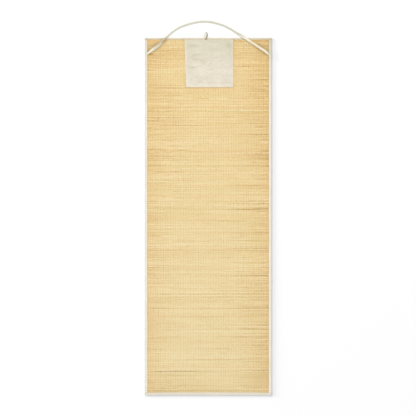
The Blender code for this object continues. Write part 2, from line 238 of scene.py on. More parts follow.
# Flat tapes: route, width, thickness, the distance between stations, and how far the ends are gathered.
FlatTape = namedtuple("FlatTape", "route width thickness spacing pinch")
STRAP = FlatTape(STRAP_ROUTE, 15.0, STRAP_THICKNESS, 4.5, 0.5)
LOOP = FlatTape(LOOP_ROUTE, 7.0, 1.2, 1.6, 0.0)

SHARP_ANGLE = math.radians(50)
WELD = 0.002
ARRAY_STEP = 10.0
YARN_SIDES = 4
QUARTER_TURN_Y = Matrix.Rotation(math.radians(90), 3, "Y")


# Shaping helpers. They take numbers or arrays.


def smooth(share):
    """0 to 1 with level ends."""
    share = np.clip(share, 0.0, 1.0)
    return share * share * (3 - 2 * share)


def bump(offset, half):
    """1 in the middle, 0 at half away and beyond."""
    return smooth(1 - np.abs(offset) / half)


def plateau(offset, half, ramp):
    """1 within half of the middle, falling to 0 over the ramp."""
    return smooth(1 - (np.abs(offset) - half) / ramp)


def drift(rng, rows, at, knot):
    """Smooth random lines, one a row and of about unit spread, with knots that far apart along them."""
    at = np.asarray(at, float)
    place = (at - at.min()) / knot
    knots = rng.standard_normal((rows, int(place.max()) + 2))
    low = np.floor(place).astype(int)
    share = smooth(place - low)
    return knots[:, low] * (1 - share) + knots[:, low + 1] * share


def field(rng, along, across, long_knot, cross_knot):
    """A smooth random field of about unit spread over two measures, with knots that far apart in each."""
    place = (np.asarray(along, float) - np.min(along)) / long_knot
    lines = drift(rng, int(place.max()) + 2, across, cross_knot)
    low = np.floor(place).astype(int)
    share = smooth(place - low)[:, None]
    return lines[low] * (1 - share) + lines[low + 1] * share


def spots(table, x, y):
    """What the table's soft spots add up to, each falling to 0 at its half run and half width."""
    total = 0.0
    for mark in table:
        east, north = math.cos(math.radians(mark.turn)), math.sin(math.radians(mark.turn))
        along = (x - mark.x) * east + (y - mark.y) * north
        aside = (y - mark.y) * east - (x - mark.x) * north
        total = total + mark.amount * bump(along, mark.half_run) * bump(aside, mark.half_width)
    return total


def foot_edge(x):
    """The mat's foot edge, which bows up a little in its middle."""
    return -MAT_LENGTH / 2 + FOOT_BOW * (1 - (2 * x / MAT_WIDTH) ** 2)


def foot_bow(x, y):
    """How far a place near the foot is carried along by the edge's bow."""
    share = np.clip(1 - (y + MAT_LENGTH / 2) / FOOT_BOW_REACH, 0.0, 1.0)
    return (foot_edge(x) + MAT_LENGTH / 2) * share


def straw_under(x, y):
    """The height of the straw's underside: the floor, but for the binding's lower legs and the ripples."""
    inset = np.minimum(MAT_WIDTH / 2 - np.abs(x), MAT_LENGTH / 2 - np.abs(y))
    rise = EDGE_RISE * (1 - smooth((inset - EDGE_FLAT) / (EDGE_SLOPE_END - EDGE_FLAT)))
    return rise + spots(RIPPLES, x, y)


# Mesh helpers.


def linked(name, data):
    """A new object in the scene."""
    made = bpy.data.objects.new(name, data)
    bpy.context.scene.collection.objects.link(made)
    return made


def mesh_from(name, bm):
    mesh = bpy.data.meshes.new(name)
    bm.to_mesh(mesh)
    bm.free()
    return mesh


def placed(name, mesh, material):
    """The mesh as an object of its own that rides on the mat."""
    mesh.name = name
    mesh.materials.clear()
    mesh.materials.append(material)
    mesh.shade_smooth()
    mesh.set_sharp_from_angle(angle=SHARP_ANGLE)
    piece = linked(name, mesh)
    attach(piece, "root")
    return piece


def finished(name, bm, material):
    """The mesh in metres, with its faces outwards, as a piece."""
    bmesh.ops.scale(bm, vec=(MM, MM, MM), verts=bm.verts)
    bmesh.ops.recalc_face_normals(bm, faces=bm.faces)
    return placed(name, mesh_from(name, bm), material)


def steps(points):
    """The distances from point to point."""
    return np.linalg.norm(np.diff(points, axis=0), axis=1)


def reaches(points):
    """How far along their line the points lie."""
    return np.concatenate([[0.0], np.cumsum(steps(points))])


def loft(name, sections, material):
    """A closed skin through section loops of equal length, with a cloth map in metres along and round it."""
    bm = bmesh.new()
    around = len(sections[0])
    bmesh.ops.create_grid(bm, x_segments=around, y_segments=len(sections) - 1, size=1)
    points = np.array(sections, float)
    closed = np.concatenate([points, points[:, :1]], axis=1)
    along = reaches(points.mean(axis=1)) * MM
    girth = reaches(closed[len(closed) // 2]) * MM
    cloth = bm.loops.layers.uv.new("cloth")
    for index, vert in enumerate(bm.verts):
        row, column = divmod(index, around + 1)
        vert.co = closed[row, column]
        for corner in vert.link_loops:
            corner[cloth].uv = (along[row], girth[column])
    bmesh.ops.remove_doubles(bm, verts=bm.verts, dist=WELD)
    bmesh.ops.holes_fill(bm, edges=bm.edges[:], sides=around)
    return finished(name, bm, material)


def yarn_shape(stations):
    """A tube along X with a station at every whole number, its section a unit ring in Y and Z."""
    bm = bmesh.new()
    bmesh.ops.create_circle(bm, segments=YARN_SIDES, radius=1, cap_ends=True)
    bmesh.ops.rotate(bm, verts=bm.verts, cent=(0, 0, 0), matrix=QUARTER_TURN_Y)
    edges = bm.edges[:]
    for _ in range(stations - 1):
        grown = bmesh.ops.extrude_edge_only(bm, edges=edges)["geom"]
        verts = {item for item in grown if isinstance(item, bmesh.types.BMVert)}
        bmesh.ops.translate(bm, vec=(1, 0, 0), verts=list(verts))
        edges = [item for item in grown if isinstance(item, bmesh.types.BMEdge)]
        edges = [edge for edge in edges if verts.issuperset(edge.verts)]
    bmesh.ops.holes_fill(bm, edges=edges, sides=YARN_SIDES)
    bmesh.ops.recalc_face_normals(bm, faces=bm.faces)
    return bm


def arrayed(bm, count):
    """The little shape repeated that many times, ARRAY_STEP apart in Z, so that each can be put in place."""
    shape = mesh_from("shape", bm)
    holder = linked("holder", shape)
    row = holder.modifiers.new("row", "ARRAY")
    row.count = count
    row.use_relative_offset = False
    row.use_constant_offset = True
    row.constant_offset_displace = (0, 0, ARRAY_STEP)
    graph = bpy.context.evaluated_depsgraph_get()
    mesh = bpy.data.meshes.new_from_object(holder.evaluated_get(graph))
    bpy.data.objects.remove(holder)
    bpy.data.meshes.remove(shape)
    return mesh


def copies(mesh):
    """The station, side, height and copy of every point of an arrayed shape."""
    places = np.zeros(len(mesh.vertices) * 3, np.float32)
    mesh.vertices.foreach_get("co", places)
    station, side, height = places.reshape(-1, 3).T
    copy = np.rint(height / ARRAY_STEP)
    return np.rint(station).astype(int), side, height - copy * ARRAY_STEP, copy.astype(int)


def put(mesh, x, y, z):
    places = np.stack([x, y, z], axis=1) * MM
    mesh.vertices.foreach_set("co", places.astype(np.float32).ravel())
    mesh.update()


def mark_points(mesh, name, values):
    layer = mesh.attributes.new(name, "FLOAT", "POINT")
    layer.data.foreach_set("value", np.asarray(values, np.float32))


def read(items, name):
    """One whole number of every item of a mesh."""
    values = np.zeros(len(items), np.int32)
    items.foreach_get(name, values)
    return values


def map_rows(mesh, along, across, upward, top_share):
    """The bake's map: rows side by side, their upper faces in one band of the square, the rest beside it."""
    vertex = read(mesh.loops, "vertex_index")
    starts = read(mesh.polygons, "loop_start")
    totals = read(mesh.polygons, "loop_total")
    facing = np.repeat(np.add.reduceat(upward[vertex], starts) > 0, totals)
    row = across[vertex]
    placed_row = np.where(facing, row * top_share, top_share + row * (1 - top_share))
    layer = mesh.uv_layers.new(name="OFBake")
    layer.data.foreach_set("uv", np.stack([along[vertex], placed_row], axis=1).astype(np.float32).ravel())


# The straw.


def stem_rows(rng):
    """The middle and half width of every row of straw, from the foot to the head."""
    widths = 1 + STEM_SPREAD * (2 * rng.random(STEM_COUNT) - 1)
    widths *= (MAT_LENGTH - 2 * STEM_INSET) / widths.sum()
    middles = np.cumsum(widths) - widths / 2 - MAT_LENGTH / 2 + STEM_INSET
    return middles, widths / 2


def changing(rng, change, rows, at):
    """One line of that slow change for every row."""
    return change.amount * drift(rng, rows, at, change.knot)


def stem_places(rng):
    """The straw rows' middle lines, heights and half widths at every warp thread and both edges."""
    middles, halves = stem_rows(rng)
    across = np.linspace(STEM_INSET - MAT_WIDTH / 2, MAT_WIDTH / 2 - STEM_INSET, WARP_COUNT + 2)
    x, y = np.broadcast_arrays(across[None, :], middles[:, None])
    rim = smooth((MAT_LENGTH / 2 - np.abs(middles)) / STRAIGHT_RIM)[:, None]
    flow = field(rng, middles, across, *ROW_FLOW_KNOTS)
    y = y + rim * (ROW_FLOW * flow + changing(rng, ROW_WAVER, STEM_COUNT, across))
    y = y + foot_bow(x, y)
    over = np.where((np.arange(STEM_COUNT)[:, None] + np.arange(WARP_COUNT + 2)[None, :]) % 2, 1, -1)
    lift = changing(rng, ROW_LIFT, STEM_COUNT, across)
    base = straw_under(x, y) + STRAW / 2
    half = halves[:, None] * STEM_FILL * (1 + changing(rng, ROW_FULLNESS, STEM_COUNT, across))
    return x, y, base, over, lift, half


# Painted shade on the straw beside the strap: how far from it, how much, and how much more in the corners
# beyond it.
StrapShade = namedtuple("StrapShade", "reach amount beyond")
STRAP_SHADES = rows_of(StrapShade, (34.0, 0.1, 0.3), (80.0, 0.05, 0.11))
STRAP_SHADE_CROSSING = 12
# Towards the head tape most of that painted shade ends.
STRAP_SHADE_END = 822
STRAP_SHADE_END_RAMP = 8
STRAP_SHADE_ENDED = 0.85
# The shade that the patch casts beside it, narrower at its left.
PATCH_SHADE = 1.2
PATCH_SHADE_REACH = 16.0
PATCH_SHADE_LEFT = 0.7


def strap_painted_shade(x, y):
    """Painted shade beside the strap on each place of the straw, most of all in the corners beyond it."""
    route = smooth_route(STRAP.route, STRAP.spacing)
    route = route[route[:, 1] < MAT_LENGTH / 2]
    apart = np.hypot(x[..., None] - route[:, 0], y[..., None] - route[:, 1])
    nearest = route[apart.argmin(axis=-1)]
    apart = apart.min(axis=-1)
    corner = smooth(0.5 + (y - nearest[..., 1]) / STRAP_SHADE_CROSSING)
    shade_total = sum((shade_band.amount + shade_band.beyond * corner) * smooth(1 - apart / shade_band.reach) for shade_band in STRAP_SHADES)
    return shade_total * (1 - STRAP_SHADE_ENDED * smooth((y - STRAP_SHADE_END) / STRAP_SHADE_END_RAMP))


def straw_tones(rng, x, y):
    """How dark each place of each row is, and how green or red: whole rows, long streaks, and the marks."""
    across = x[0]
    tone = ROW_TONE * rng.standard_normal((STEM_COUNT, 1))
    for streak in STREAKS:
        tone = tone + changing(rng, streak, STEM_COUNT, across)
    tone = tone - ROW_CONTRAST * (np.roll(tone, 1, axis=0) + np.roll(tone, -1, axis=0))
    tone = tone + PLACE_TONE * rng.standard_normal(x.shape)
    patchy = 1 + PATCHY * field(rng, y[:, 0], across, *PATCHY_KNOTS)
    calm = 1 - HEAD_CALM * smooth((y - HEAD_CALM_FROM) / HEAD_CALM_RAMP)
    tone = tone * patchy * calm * (MIDDLE_CONTRAST + SIDE_CONTRAST * (2 * x / MAT_WIDTH) ** 2)
    for mark in MARKS:
        near = np.abs(y - mark.y) < MARK_REACH
        tone = tone + MARK_GAIN * mark.depth * near * smooth(2 * (1 - np.abs(x - mark.x) / mark.half_run))
    tone = tone + spots(STRAW_SPOTS_AND_SHADE, x, y)
    beside = np.maximum(-patch_inset(x, y), 0.0)
    reach = np.where(x < 0, PATCH_SHADE_LEFT, 1.0)
    tone = tone + PATCH_SHADE * smooth(1 - beside / reach / PATCH_SHADE_REACH)
    hue = ROW_HUE * rng.standard_normal((STEM_COUNT, 1)) + changing(rng, HUE_STREAK, STEM_COUNT, across)
    return tone, hue + spots([ROSY_CORNER], x, y)


def straw_weave(rng, straw, yarn):
    """The rows of straw and the warp threads that hold them."""
    x, y, base, over, lift, half = stem_places(rng)
    tone, hue = straw_tones(rng, x, y)
    mesh = arrayed(yarn_shape(WARP_COUNT + 2), STEM_COUNT)
    station, side, height, row = copies(mesh)
    thick = STEM_HALF_THICK * (1 + changing(rng, ROW_THICKNESS, STEM_COUNT, x[0]))
    at = row, station
    middle = np.maximum(base[at] + lift[at] + STEM_SWAY * over[at], thick[at] + FLOOR_GAP)
    put(mesh, x[at], y[at] + side * half[at], middle + height * thick[at])
    mark_points(mesh, "tone", tone[at])
    mark_points(mesh, "hue", hue[at])
    # The painted shade beside the strap.
    mark_points(mesh, "rub", strap_painted_shade(x, y)[at])
    mark_points(mesh, "row", row * ROW_NUMBER_STEP % 1 * ROW_NUMBER_RANGE)
    across = (row + 0.5 + side / 2) / STEM_COUNT
    map_rows(mesh, station / (WARP_COUNT + 1), across, height, ROWS_ON_TOP)
    stems = placed("straw_weave", mesh, straw)
    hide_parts("straw_panel")
    mesh = arrayed(yarn_shape(STEM_COUNT), WARP_COUNT)
    station, side, height, thread = copies(mesh)
    at = station, thread + 1
    wander = changing(rng, THREAD_WANDER, WARP_COUNT, np.arange(STEM_COUNT)).T
    middle = np.maximum(base[at] + lift[at] - WARP_RISE * over[at], WARP_RADIUS + FLOOR_GAP)
    put(mesh, x[at] + wander[station, thread] + side * WARP_RADIUS, y[at], middle + height * WARP_RADIUS)
    shown = field(rng, np.arange(STEM_COUNT), np.arange(WARP_COUNT), SHOWN_KNOT, SHOWN_KNOT)
    shown = shown + SHOWN_SPREAD * rng.standard_normal(shown.shape)
    mark_points(mesh, "tone", shown[station, thread])
    across = (thread + 0.5 + side / 2) / WARP_COUNT
    map_rows(mesh, station / (STEM_COUNT - 1), across, height, THREADS_ON_TOP)
    threads = placed("warp_threads", mesh, yarn)
    return stems, threads


# The binding tapes.


def arc(centre, wide, tall, start, end, count):
    """Points on an arc with those two radii, as (inset, height)."""
    angles = np.radians(np.linspace(start, end, count))
    return [(centre[0] + wide * math.cos(a), centre[1] + tall * math.sin(a)) for a in angles]


# A fold is wider than it is high, and its outermost line lies low. The seam presses a small groove.
FOLD_WIDE = 4.3
FOLD_LINE = 1.0
FOLD_SLOT = 3.3
RIM = 0.3
SEAM_INSET = 2.6
SEAM_HALF = 0.9
SEAM_DEPTH = 0.28
SEAM_CLEAR = 0.05
# How far from the tapes' ends their stitches start and stop.
SEAM_START = 5
SEAM_END = 2


def tape_section(leg, crown, slot, puff):
    """(inset, height) points round a folded tape: lower leg, fold, upper leg with its seam, and the slot."""
    seam = leg - SEAM_INSET
    return [
        (leg - RIM, 0.0),
        *arc((FOLD_WIDE, FOLD_LINE), FOLD_WIDE, FOLD_LINE, 270, 180, 5),
        *arc((FOLD_WIDE, FOLD_LINE), FOLD_WIDE, crown - FOLD_LINE, 165, 90, 6),
        ((FOLD_WIDE + seam) / 2, crown + puff),
        (seam - SEAM_HALF, crown),
        (seam, crown - SEAM_DEPTH),
        (seam + SEAM_HALF, crown),
        (leg - RIM, crown),
        (leg, crown - RIM),
        (leg, crown - TAPE + RIM),
        (leg - RIM, crown - TAPE),
        (slot, crown - TAPE),
        (slot, TAPE),
        (leg - RIM, TAPE),
        (leg, TAPE - RIM),
        (leg, RIM),
    ]


# A folded tape's slow unevenness: of its fold, of its seamed edge by a share of that, and of the puff on top.
TAPE_SPACING = 7.0
WOBBLE_KNOT = 24
WOBBLE = 0.3
EDGE_WOBBLE = 0.8
PUFF = 0.12
PUCKER = 0.14


def wobbled(fold, edge, share):
    """How far inwards a tape's point is shifted, by its share of the way from the fold to the seamed edge."""
    return WOBBLE * (abs(fold) * (1 - share) + EDGE_WOBBLE * edge * share)


def seat_lift(y, seat_y):
    """How far a side tape is raised where the strap's end is sewn in."""
    return STRAP_SEAT_LIFT * float(plateau(y - seat_y, STRAP_SEAT_HALF, STRAP_SEAT_RAMP))


def side_tape(name, side, leg, seat_y, rng, material):
    """A long side's tape, butted between the end tapes."""
    start = foot_edge(MAT_WIDTH / 2 - leg) + FOOT_LEG + GAP
    along = np.linspace(start, HEAD_TAPE_EDGE, round((HEAD_TAPE_EDGE - start) / TAPE_SPACING) + 1)
    sections = []
    for y, fold, pucker, edge in zip(along, *drift(rng, 3, along, WOBBLE_KNOT)):
        outline = tape_section(leg, CROWN + seat_lift(y, seat_y), FOLD_SLOT, PUFF + PUCKER * pucker)
        section = []
        for inset, height in outline:
            inset = inset + wobbled(fold, edge, inset / leg)
            section.append((side * (MAT_WIDTH / 2 - inset), y, height))
        sections.append(section)
    return loft(name, sections, material)


# An end tape's corners: their round, the stations along it, and how far the ends are pressed together.
CORNER_ROUND = 1.6
CORNER_STATIONS = np.array([0.0, 0.25, 0.6, 1.2, 1.9])
CORNER_CLOSE = 0.7
CLOSED_SLOT = 0.6


def end_tape(name, edge, side, leg, lift, dents, rng, material):
    """The head's or foot's tape, right across the mat, with rounded and closed ends."""
    half = MAT_WIDTH / 2
    inner = half - 3 * CORNER_ROUND
    middle = np.linspace(-inner, inner, round(2 * inner / TAPE_SPACING) + 1)
    corner = half - CORNER_ROUND * CORNER_STATIONS
    across = np.concatenate([-corner, middle, corner[::-1]])
    sections = []
    for x, fold, pucker, seamed in zip(across, *drift(rng, 3, across, WOBBLE_KNOT)):
        shut = max(0.0, 1 - (half - abs(x)) / CORNER_ROUND)
        pull = CORNER_ROUND * (1 - math.sqrt(1 - shut * shut))
        slot = FOLD_SLOT if shut == 0 else leg - CLOSED_SLOT
        outline = tape_section(leg, CROWN + float(lift(x)), slot, PUFF + PUCKER * pucker)
        dent = sum(depth * float(bump(x - at, reach)) for at, reach, depth in dents)
        section = []
        for inset, height in outline:
            share = inset / leg
            shift = wobbled(fold, seamed, share) + dent * (1 - share)
            height = height + pull * CORNER_CLOSE * (1 - 2 * height / CROWN)
            section.append((x, edge(x) + side * (inset + shift + pull * (1 - share)), height))
        sections.append(section)
    return loft(name, sections, material)


PATCH_SEAT_MARGIN = 4.0
PATCH_SEAT_RAMP = 9.0
# Small dents in an end tape's fold: the middle of each, its half length and its depth.
HEAD_DENTS = ((-64, 9, 0.5), (172, 12, 0.6), (240, 8, 0.5))
FOOT_DENTS = ((293, 4, 1.6), (-246, 7, 0.7), (60, 14, 0.5), (0, 290, -1.2))


def patch_seat_lift(x):
    """How far the head tape's upper leg is raised over the patch."""
    middle = (PATCH_LEFT_HEAD + PATCH_RIGHT) / 2
    half = (PATCH_RIGHT - PATCH_LEFT_HEAD) / 2 + PATCH_SEAT_MARGIN
    return (CANVAS + GAP) * plateau(x - middle, half, PATCH_SEAT_RAMP)


def head_edge(x):
    return MAT_LENGTH / 2


def no_lift(x):
    return 0.0


STITCH_PITCH = 4.4
STITCH_HALF = 1.65
STITCH_RADIUS = 0.3
STITCH_STATIONS = 4
STITCH_ARCH = 0.12
STITCH_DIP = -0.22


def stitched(name, rows, material):
    """Every stitch of the rows, each row a list of (x, y, z, heading in degrees)."""
    places = np.array([place for row in rows for place in row], float)
    mesh = arrayed(yarn_shape(STITCH_STATIONS), len(places))
    station, side, height, copy = copies(mesh)
    x, y, z, heading = places[copy].T
    along = (2 * station / (STITCH_STATIONS - 1) - 1) * STITCH_HALF
    arch = np.where(abs(along) < STITCH_HALF * 0.9, STITCH_ARCH, STITCH_DIP)
    cosine, sine = np.cos(np.radians(heading)), np.sin(np.radians(heading))
    aside = side * STITCH_RADIUS
    x = x + along * cosine - aside * sine
    y = y + along * sine + aside * cosine
    put(mesh, x, y, z + arch + height * STITCH_RADIUS)
    return placed(name, mesh, material)


def along_line(start, end, height):
    """Stitches from one place to another, at the height that a place has."""
    start, end = np.array(start, float), np.array(end, float)
    run = end - start
    count = int(np.linalg.norm(run) / STITCH_PITCH)
    heading = math.degrees(math.atan2(run[1], run[0]))
    row = []
    for step in range(count):
        x, y = start + run * (step + 0.5) / count
        row.append((x, y, float(height(x, y)), heading))
    return row


def binding_seams(thread):
    """The stitching along the inner edge of all four tapes."""
    head = MAT_LENGTH / 2 - HEAD_LEG
    foot = -MAT_LENGTH / 2 + FOOT_LEG
    rows = []
    for side, leg, seat in ((-1, LEFT_LEG, LEFT_SEAT_Y), (1, RIGHT_LEG, RIGHT_SEAT_Y)):
        x = side * (MAT_WIDTH / 2 - leg + SEAM_INSET)

        def height(x, y, seat=seat):
            return CROWN + seat_lift(y, seat) + SEAM_CLEAR

        rows.append(along_line((x, foot + SEAM_START), (x, head - SEAM_END), height))

    def head_height(x, y):
        return CROWN + patch_seat_lift(x) + SEAM_CLEAR

    reach = MAT_WIDTH / 2 - SEAM_START
    line = head + SEAM_INSET
    rows.append(along_line((-reach, line), (reach, line), head_height))
    foot_row = []
    for x, _, z, _ in along_line((-reach, 0), (reach, 0), lambda x, y: CROWN + SEAM_CLEAR):
        slope = -FOOT_BOW * 8 * x / MAT_WIDTH**2
        foot_row.append((x, foot_edge(x) + FOOT_LEG - SEAM_INSET, z, math.degrees(math.atan(slope))))
    rows.append(foot_row)
    seams = stitched("binding_stitches", rows, thread)
    return seams


# The patch.


def patch_left(y):
    """The patch's left edge, which leans inwards towards the foot."""
    towards_foot = (PATCH_HEAD - y) / (PATCH_HEAD - PATCH_FOOT)
    return PATCH_LEFT_HEAD + (PATCH_LEFT_FOOT - PATCH_LEFT_HEAD) * towards_foot


# Creases in the canvas, in millimetres.
CREASES = rows_of(
    Spot,
    (-88, 803, 4, 22, 5, 0.5), (97, 818, 62, 17, 4, 0.8), (103, 806, 35, 15, 4, 0.7),
    (88, 800, 100, 13, 4, 0.6), (-66, 748, -14, 34, 6, 0.6), (-28, 728, -40, 18, 5, 0.6),
    (8, 722, 70, 16, 6, 0.5), (-74, 712, 3, 26, 5, 0.7), (60, 708, 0, 46, 5, 0.4),
    (20, 785, 8, 60, 7, 0.4), (76, 648, 3, 38, 5, 0.5), (92, 634, -4, 26, 4, 0.4),
    (-84, 648, 8, 14, 6, 0.4), (4, 740, 88, 80, 4, 0.25),
)

# Soft grey-green marks in the canvas, most of them along its creases and wrinkles: partly soil, partly
# painted shade in the creases.
CANVAS_SMUDGES_AND_CREASE_SHADE = rows_of(
    Spot,
    (-74, 811, 0, 50, 13, 0.75), (99, 810, 20, 28, 20, 0.65), (-52, 770, 0, 60, 9, 0.5),
    (14, 792, 0, 74, 16, 0.35), (-60, 746, -8, 56, 10, 0.55), (-22, 728, -30, 18, 12, 0.5),
    (8, 720, 80, 16, 12, 0.4), (-76, 708, 0, 32, 10, 0.9), (60, 709, 0, 54, 10, 0.35),
    (78, 650, 0, 46, 10, 0.45), (84, 634, 0, 40, 8, 0.4), (-84, 650, 0, 14, 16, 0.4),
    (96, 826, 0, 34, 30, 0.5), (-66, 764, 4, 46, 12, 0.6), (-30, 744, -6, 60, 14, 0.35),
    (60, 752, 0, 66, 22, 0.3), (104, 770, 80, 60, 18, 0.3), (84, 668, 4, 48, 16, 0.4),
    (-10, 636, 0, 80, 12, 0.3), (30, 832, 0, 90, 12, 0.3), (110, 730, 90, 120, 16, 0.3),
)


def patch_under(x, y):
    """The height of the patch's underside, on the straw and over its own wrinkles and creases."""
    return straw_under(x, y) + STRAW + GAP + spots(WRINKLES, x, y) + spots(CREASES, x, y)


def hem_share(inset):
    return 1 - smooth((inset - HEM) / HEM_STEP)


def patch_inset(x, y):
    """How far a place lies inside the patch's three free edges."""
    return np.minimum(np.minimum(x - patch_left(y), PATCH_RIGHT - x), y - PATCH_FOOT)


def patch_thick(x, y):
    """One layer of canvas, with the turned hem's extra layers along both sides and the foot."""
    inset = patch_inset(x, y)
    below_binding = smooth((HEAD_TAPE_EDGE - y) / HEM_STEP)
    worn_edge = 1 - HEM_THINNED * smooth(1 - inset / HEM_ROUND)
    seam = HEM_SEAM_DEPTH * bump(inset - HEM_SEAM, HEM_SEAM_HALF)
    return (CANVAS + (HEM_EXTRA - seam) * hem_share(inset) * below_binding) * worn_edge


def even(start, end, spacing, wanted):
    """Even stations from start to end, with the wanted ones let in and their near neighbours left out."""
    stations = np.linspace(start, end, round((end - start) / spacing) + 1)
    wanted = np.array(wanted, float)
    apart = np.abs(stations[:, None] - wanted[None, :]).min(axis=1)
    apart[[0, -1]] = spacing
    return np.sort(np.concatenate([stations[apart > spacing / 2], wanted]))


def canvas_patch(material):
    """The patch, with stations at its hem and at the head tape's edge."""
    hem = (HEM_ROUND, HEM_SEAM - HEM_SEAM_HALF, HEM_SEAM, HEM_SEAM + HEM_SEAM_HALF, HEM, HEM + HEM_STEP)
    sides = [PATCH_LEFT_HEAD + inset for inset in hem] + [PATCH_RIGHT - inset for inset in hem]
    across = even(PATCH_LEFT_HEAD, PATCH_RIGHT, PATCH_GRID, sides)
    ends = [PATCH_FOOT + inset for inset in hem] + [HEAD_TAPE_EDGE - HEM_STEP, HEAD_TAPE_EDGE]
    along = even(PATCH_FOOT, PATCH_HEAD, PATCH_GRID, ends)
    x, y = np.meshgrid(across, along)
    from_right = (PATCH_RIGHT - x) / (PATCH_RIGHT - PATCH_LEFT_HEAD)
    x = x + (patch_left(y) - PATCH_LEFT_HEAD) * from_right
    smudge = spots(CANVAS_SMUDGES_AND_CREASE_SHADE, x, y)
    bleached = hem_share(patch_inset(x, y)) * (HEM_BLEACH + (1 - HEM_BLEACH) * (x < 0))
    bm = bmesh.new()
    bmesh.ops.create_grid(bm, x_segments=len(across) - 1, y_segments=len(along) - 1, size=1)
    layers = [bm.verts.layers.float.new(name) for name in ("smudge", "hem", "top")]
    columns = (x, y, patch_under(x, y), smudge, bleached, patch_thick(x, y))
    for vert, place in zip(bm.verts, zip(*(column.flat for column in columns))):
        vert.co = place[:3]
        for layer, value in zip(layers, place[3:]):
            vert[layer] = value
    grown = bmesh.ops.extrude_face_region(bm, geom=bm.faces[:])
    for item in grown["geom"]:
        if isinstance(item, bmesh.types.BMVert):
            item.co.z += item[layers[-1]]
    patch = finished("canvas_patch_cloth", bm, material)
    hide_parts("canvas_patch")
    return patch


def patch_seams(thread):
    """The stitching of the patch's hem, down both sides and along its foot."""

    def height(x, y):
        return patch_under(x, y) + patch_thick(x, y) + STITCH_RADIUS / 2

    high = MAT_LENGTH / 2 - HEAD_LEG - SEAM_END
    low = PATCH_FOOT + HEM_SEAM
    left = patch_left(low) + HEM_SEAM
    right = PATCH_RIGHT - HEM_SEAM
    rows = [
        along_line((patch_left(high) + HEM_SEAM, high), (left, low), height),
        along_line((left, low), (right, low), height),
        along_line((right, low), (right, high), height),
    ]
    seams = stitched("patch_stitches", rows, thread)
    return seams


# The strap and the loop.


def smooth_route(stops, spacing):
    """Points at an even spacing, with turns, on one smooth curve through the stops."""
    rows = np.array(stops, float)
    reach = reaches(rows[:, :2])
    slopes = np.gradient(rows, reach, axis=0)
    places = np.linspace(0, reach[-1], round(reach[-1] / spacing) + 1)
    span = np.clip(np.searchsorted(reach, places, side="right") - 1, 0, len(reach) - 2)
    length = steps(rows[:, :2])[span][:, None]
    share = (places - reach[span])[:, None] / length
    start_weight = 2 * share**3 - 3 * share**2 + 1
    start_slope_weight = share**3 - 2 * share**2 + share
    end_slope_weight = share**3 - share**2
    slope = start_slope_weight * slopes[span] + end_slope_weight * slopes[span + 1]
    return start_weight * rows[span] + (1 - start_weight) * rows[span + 1] + length * slope


SELVEDGE_DIP = 0.12
SELVEDGE_WIDE = 2.2


def tape_outline(width, thickness):
    """(across, up) points round a woven tape, with round edges and a hollow beside each selvedge."""
    half = width / 2
    rim = thickness / 2
    dip = SELVEDGE_DIP * thickness
    shoulder = half - SELVEDGE_WIDE * rim
    turned = arc((half - rim, 0.0), rim, rim, -90, 90, 5)
    turned += [(shoulder, rim - dip), (half / 2, rim - dip / 2), (0.0, rim - dip / 3)]
    turned += [(-half / 2, rim - dip / 2), (-shoulder, rim - dip)]
    return turned + [(-across, -up) for across, up in turned]


def flat_tape(name, tape, material):
    """A tape along its route, turning as the stops say and gathered at its ends, and its length."""
    route = smooth_route(tape.route, tape.spacing)
    heading = np.gradient(route[:, :2], axis=0)
    heading /= np.linalg.norm(heading, axis=1)[:, None]
    outline = tape_outline(tape.width, tape.thickness)
    station = np.arange(len(route))
    from_end = tape.spacing * np.minimum(station, station[::-1])
    shares = 1 - tape.pinch * (1 - smooth(from_end / STRAP_PINCH_REACH))
    sections = []
    for (x, y, low, turn), (east, north), share in zip(route, heading, shares):
        cosine, sine = math.cos(math.radians(turn)), math.sin(math.radians(turn))
        gathered = [(across * share, up) for across, up in outline]
        rises = [across * sine + up * cosine for across, up in gathered]
        middle = max(low, 0.0) - min(rises)
        section = []
        for (across, up), rise in zip(gathered, rises):
            aside = across * cosine - up * sine
            section.append((x - north * aside, y + east * aside, middle + rise))
        sections.append(section)
    return loft(name, sections, material), float(steps(route[:, :2]).sum())


# Materials. Places are in metres, colours are 8-bit display ones, and each material has its own shader.


def feed(socket, value):
    """Links the socket to another one, or sets its value. A socket's id_data is the tree that it is in."""
    if isinstance(value, bpy.types.NodeSocket):
        socket.id_data.links.new(value, socket)
    else:
        socket.default_value = value


def node(tree, kind, settings=None, **inputs):
    made = tree.nodes.new("ShaderNode" + kind)
    for name, value in (settings or {}).items():
        setattr(made, name, value)
    for name, value in inputs.items():
        feed(made.inputs[name.replace("_", " ")], value)
    return made


def object_place(tree):
    return node(tree, "TexCoord").outputs["Object"]


def cloth_place(tree):
    return node(tree, "UVMap", {"uv_map": "cloth"}).outputs["UV"]


def axes(place):
    return node(place.id_data, "SeparateXYZ", Vector=place).outputs


def attribute(tree, name):
    return node(tree, "Attribute", {"attribute_name": name}).outputs["Fac"]


def noise(place, detail, **inputs):
    return node(place.id_data, "TexNoise", Vector=place, Detail=detail, **inputs).outputs["Fac"]


def maths(operation, *values):
    """A calculation with one socket at least."""
    tree = next(value.id_data for value in values if isinstance(value, bpy.types.NodeSocket))
    made = node(tree, "Math", {"operation": operation})
    for socket, value in zip(made.inputs, values):
        feed(socket, value)
    return made.outputs[0]


def times(value, *others):
    """The product of all the values."""
    for other in others:
        value = maths("MULTIPLY", value, other)
    return value


def added(value, *parts):
    """The value with every part added, each multiplied by its amount."""
    for part, amount in parts:
        value = maths("MULTIPLY_ADD", part, amount, value)
    return value


def ranged(value, low, high, full=1.0, least=0.0):
    """The least at low and below, and the full amount at high and beyond. High may be the smaller one."""
    limits = {"From_Min": low, "From_Max": high, "To_Min": least, "To_Max": full}
    return node(value.id_data, "MapRange", Value=value, **limits).outputs["Result"]


def between(value, start, full_from, full_to, end):
    """0 at the start and the end, and 1 between the two places inside them."""
    return times(ranged(value, start, full_from), ranged(value, end, full_to))


def stretched(place, scale):
    """The place with each of its three measures multiplied."""
    return node(place.id_data, "Mapping", Vector=place, Scale=scale).outputs["Vector"]


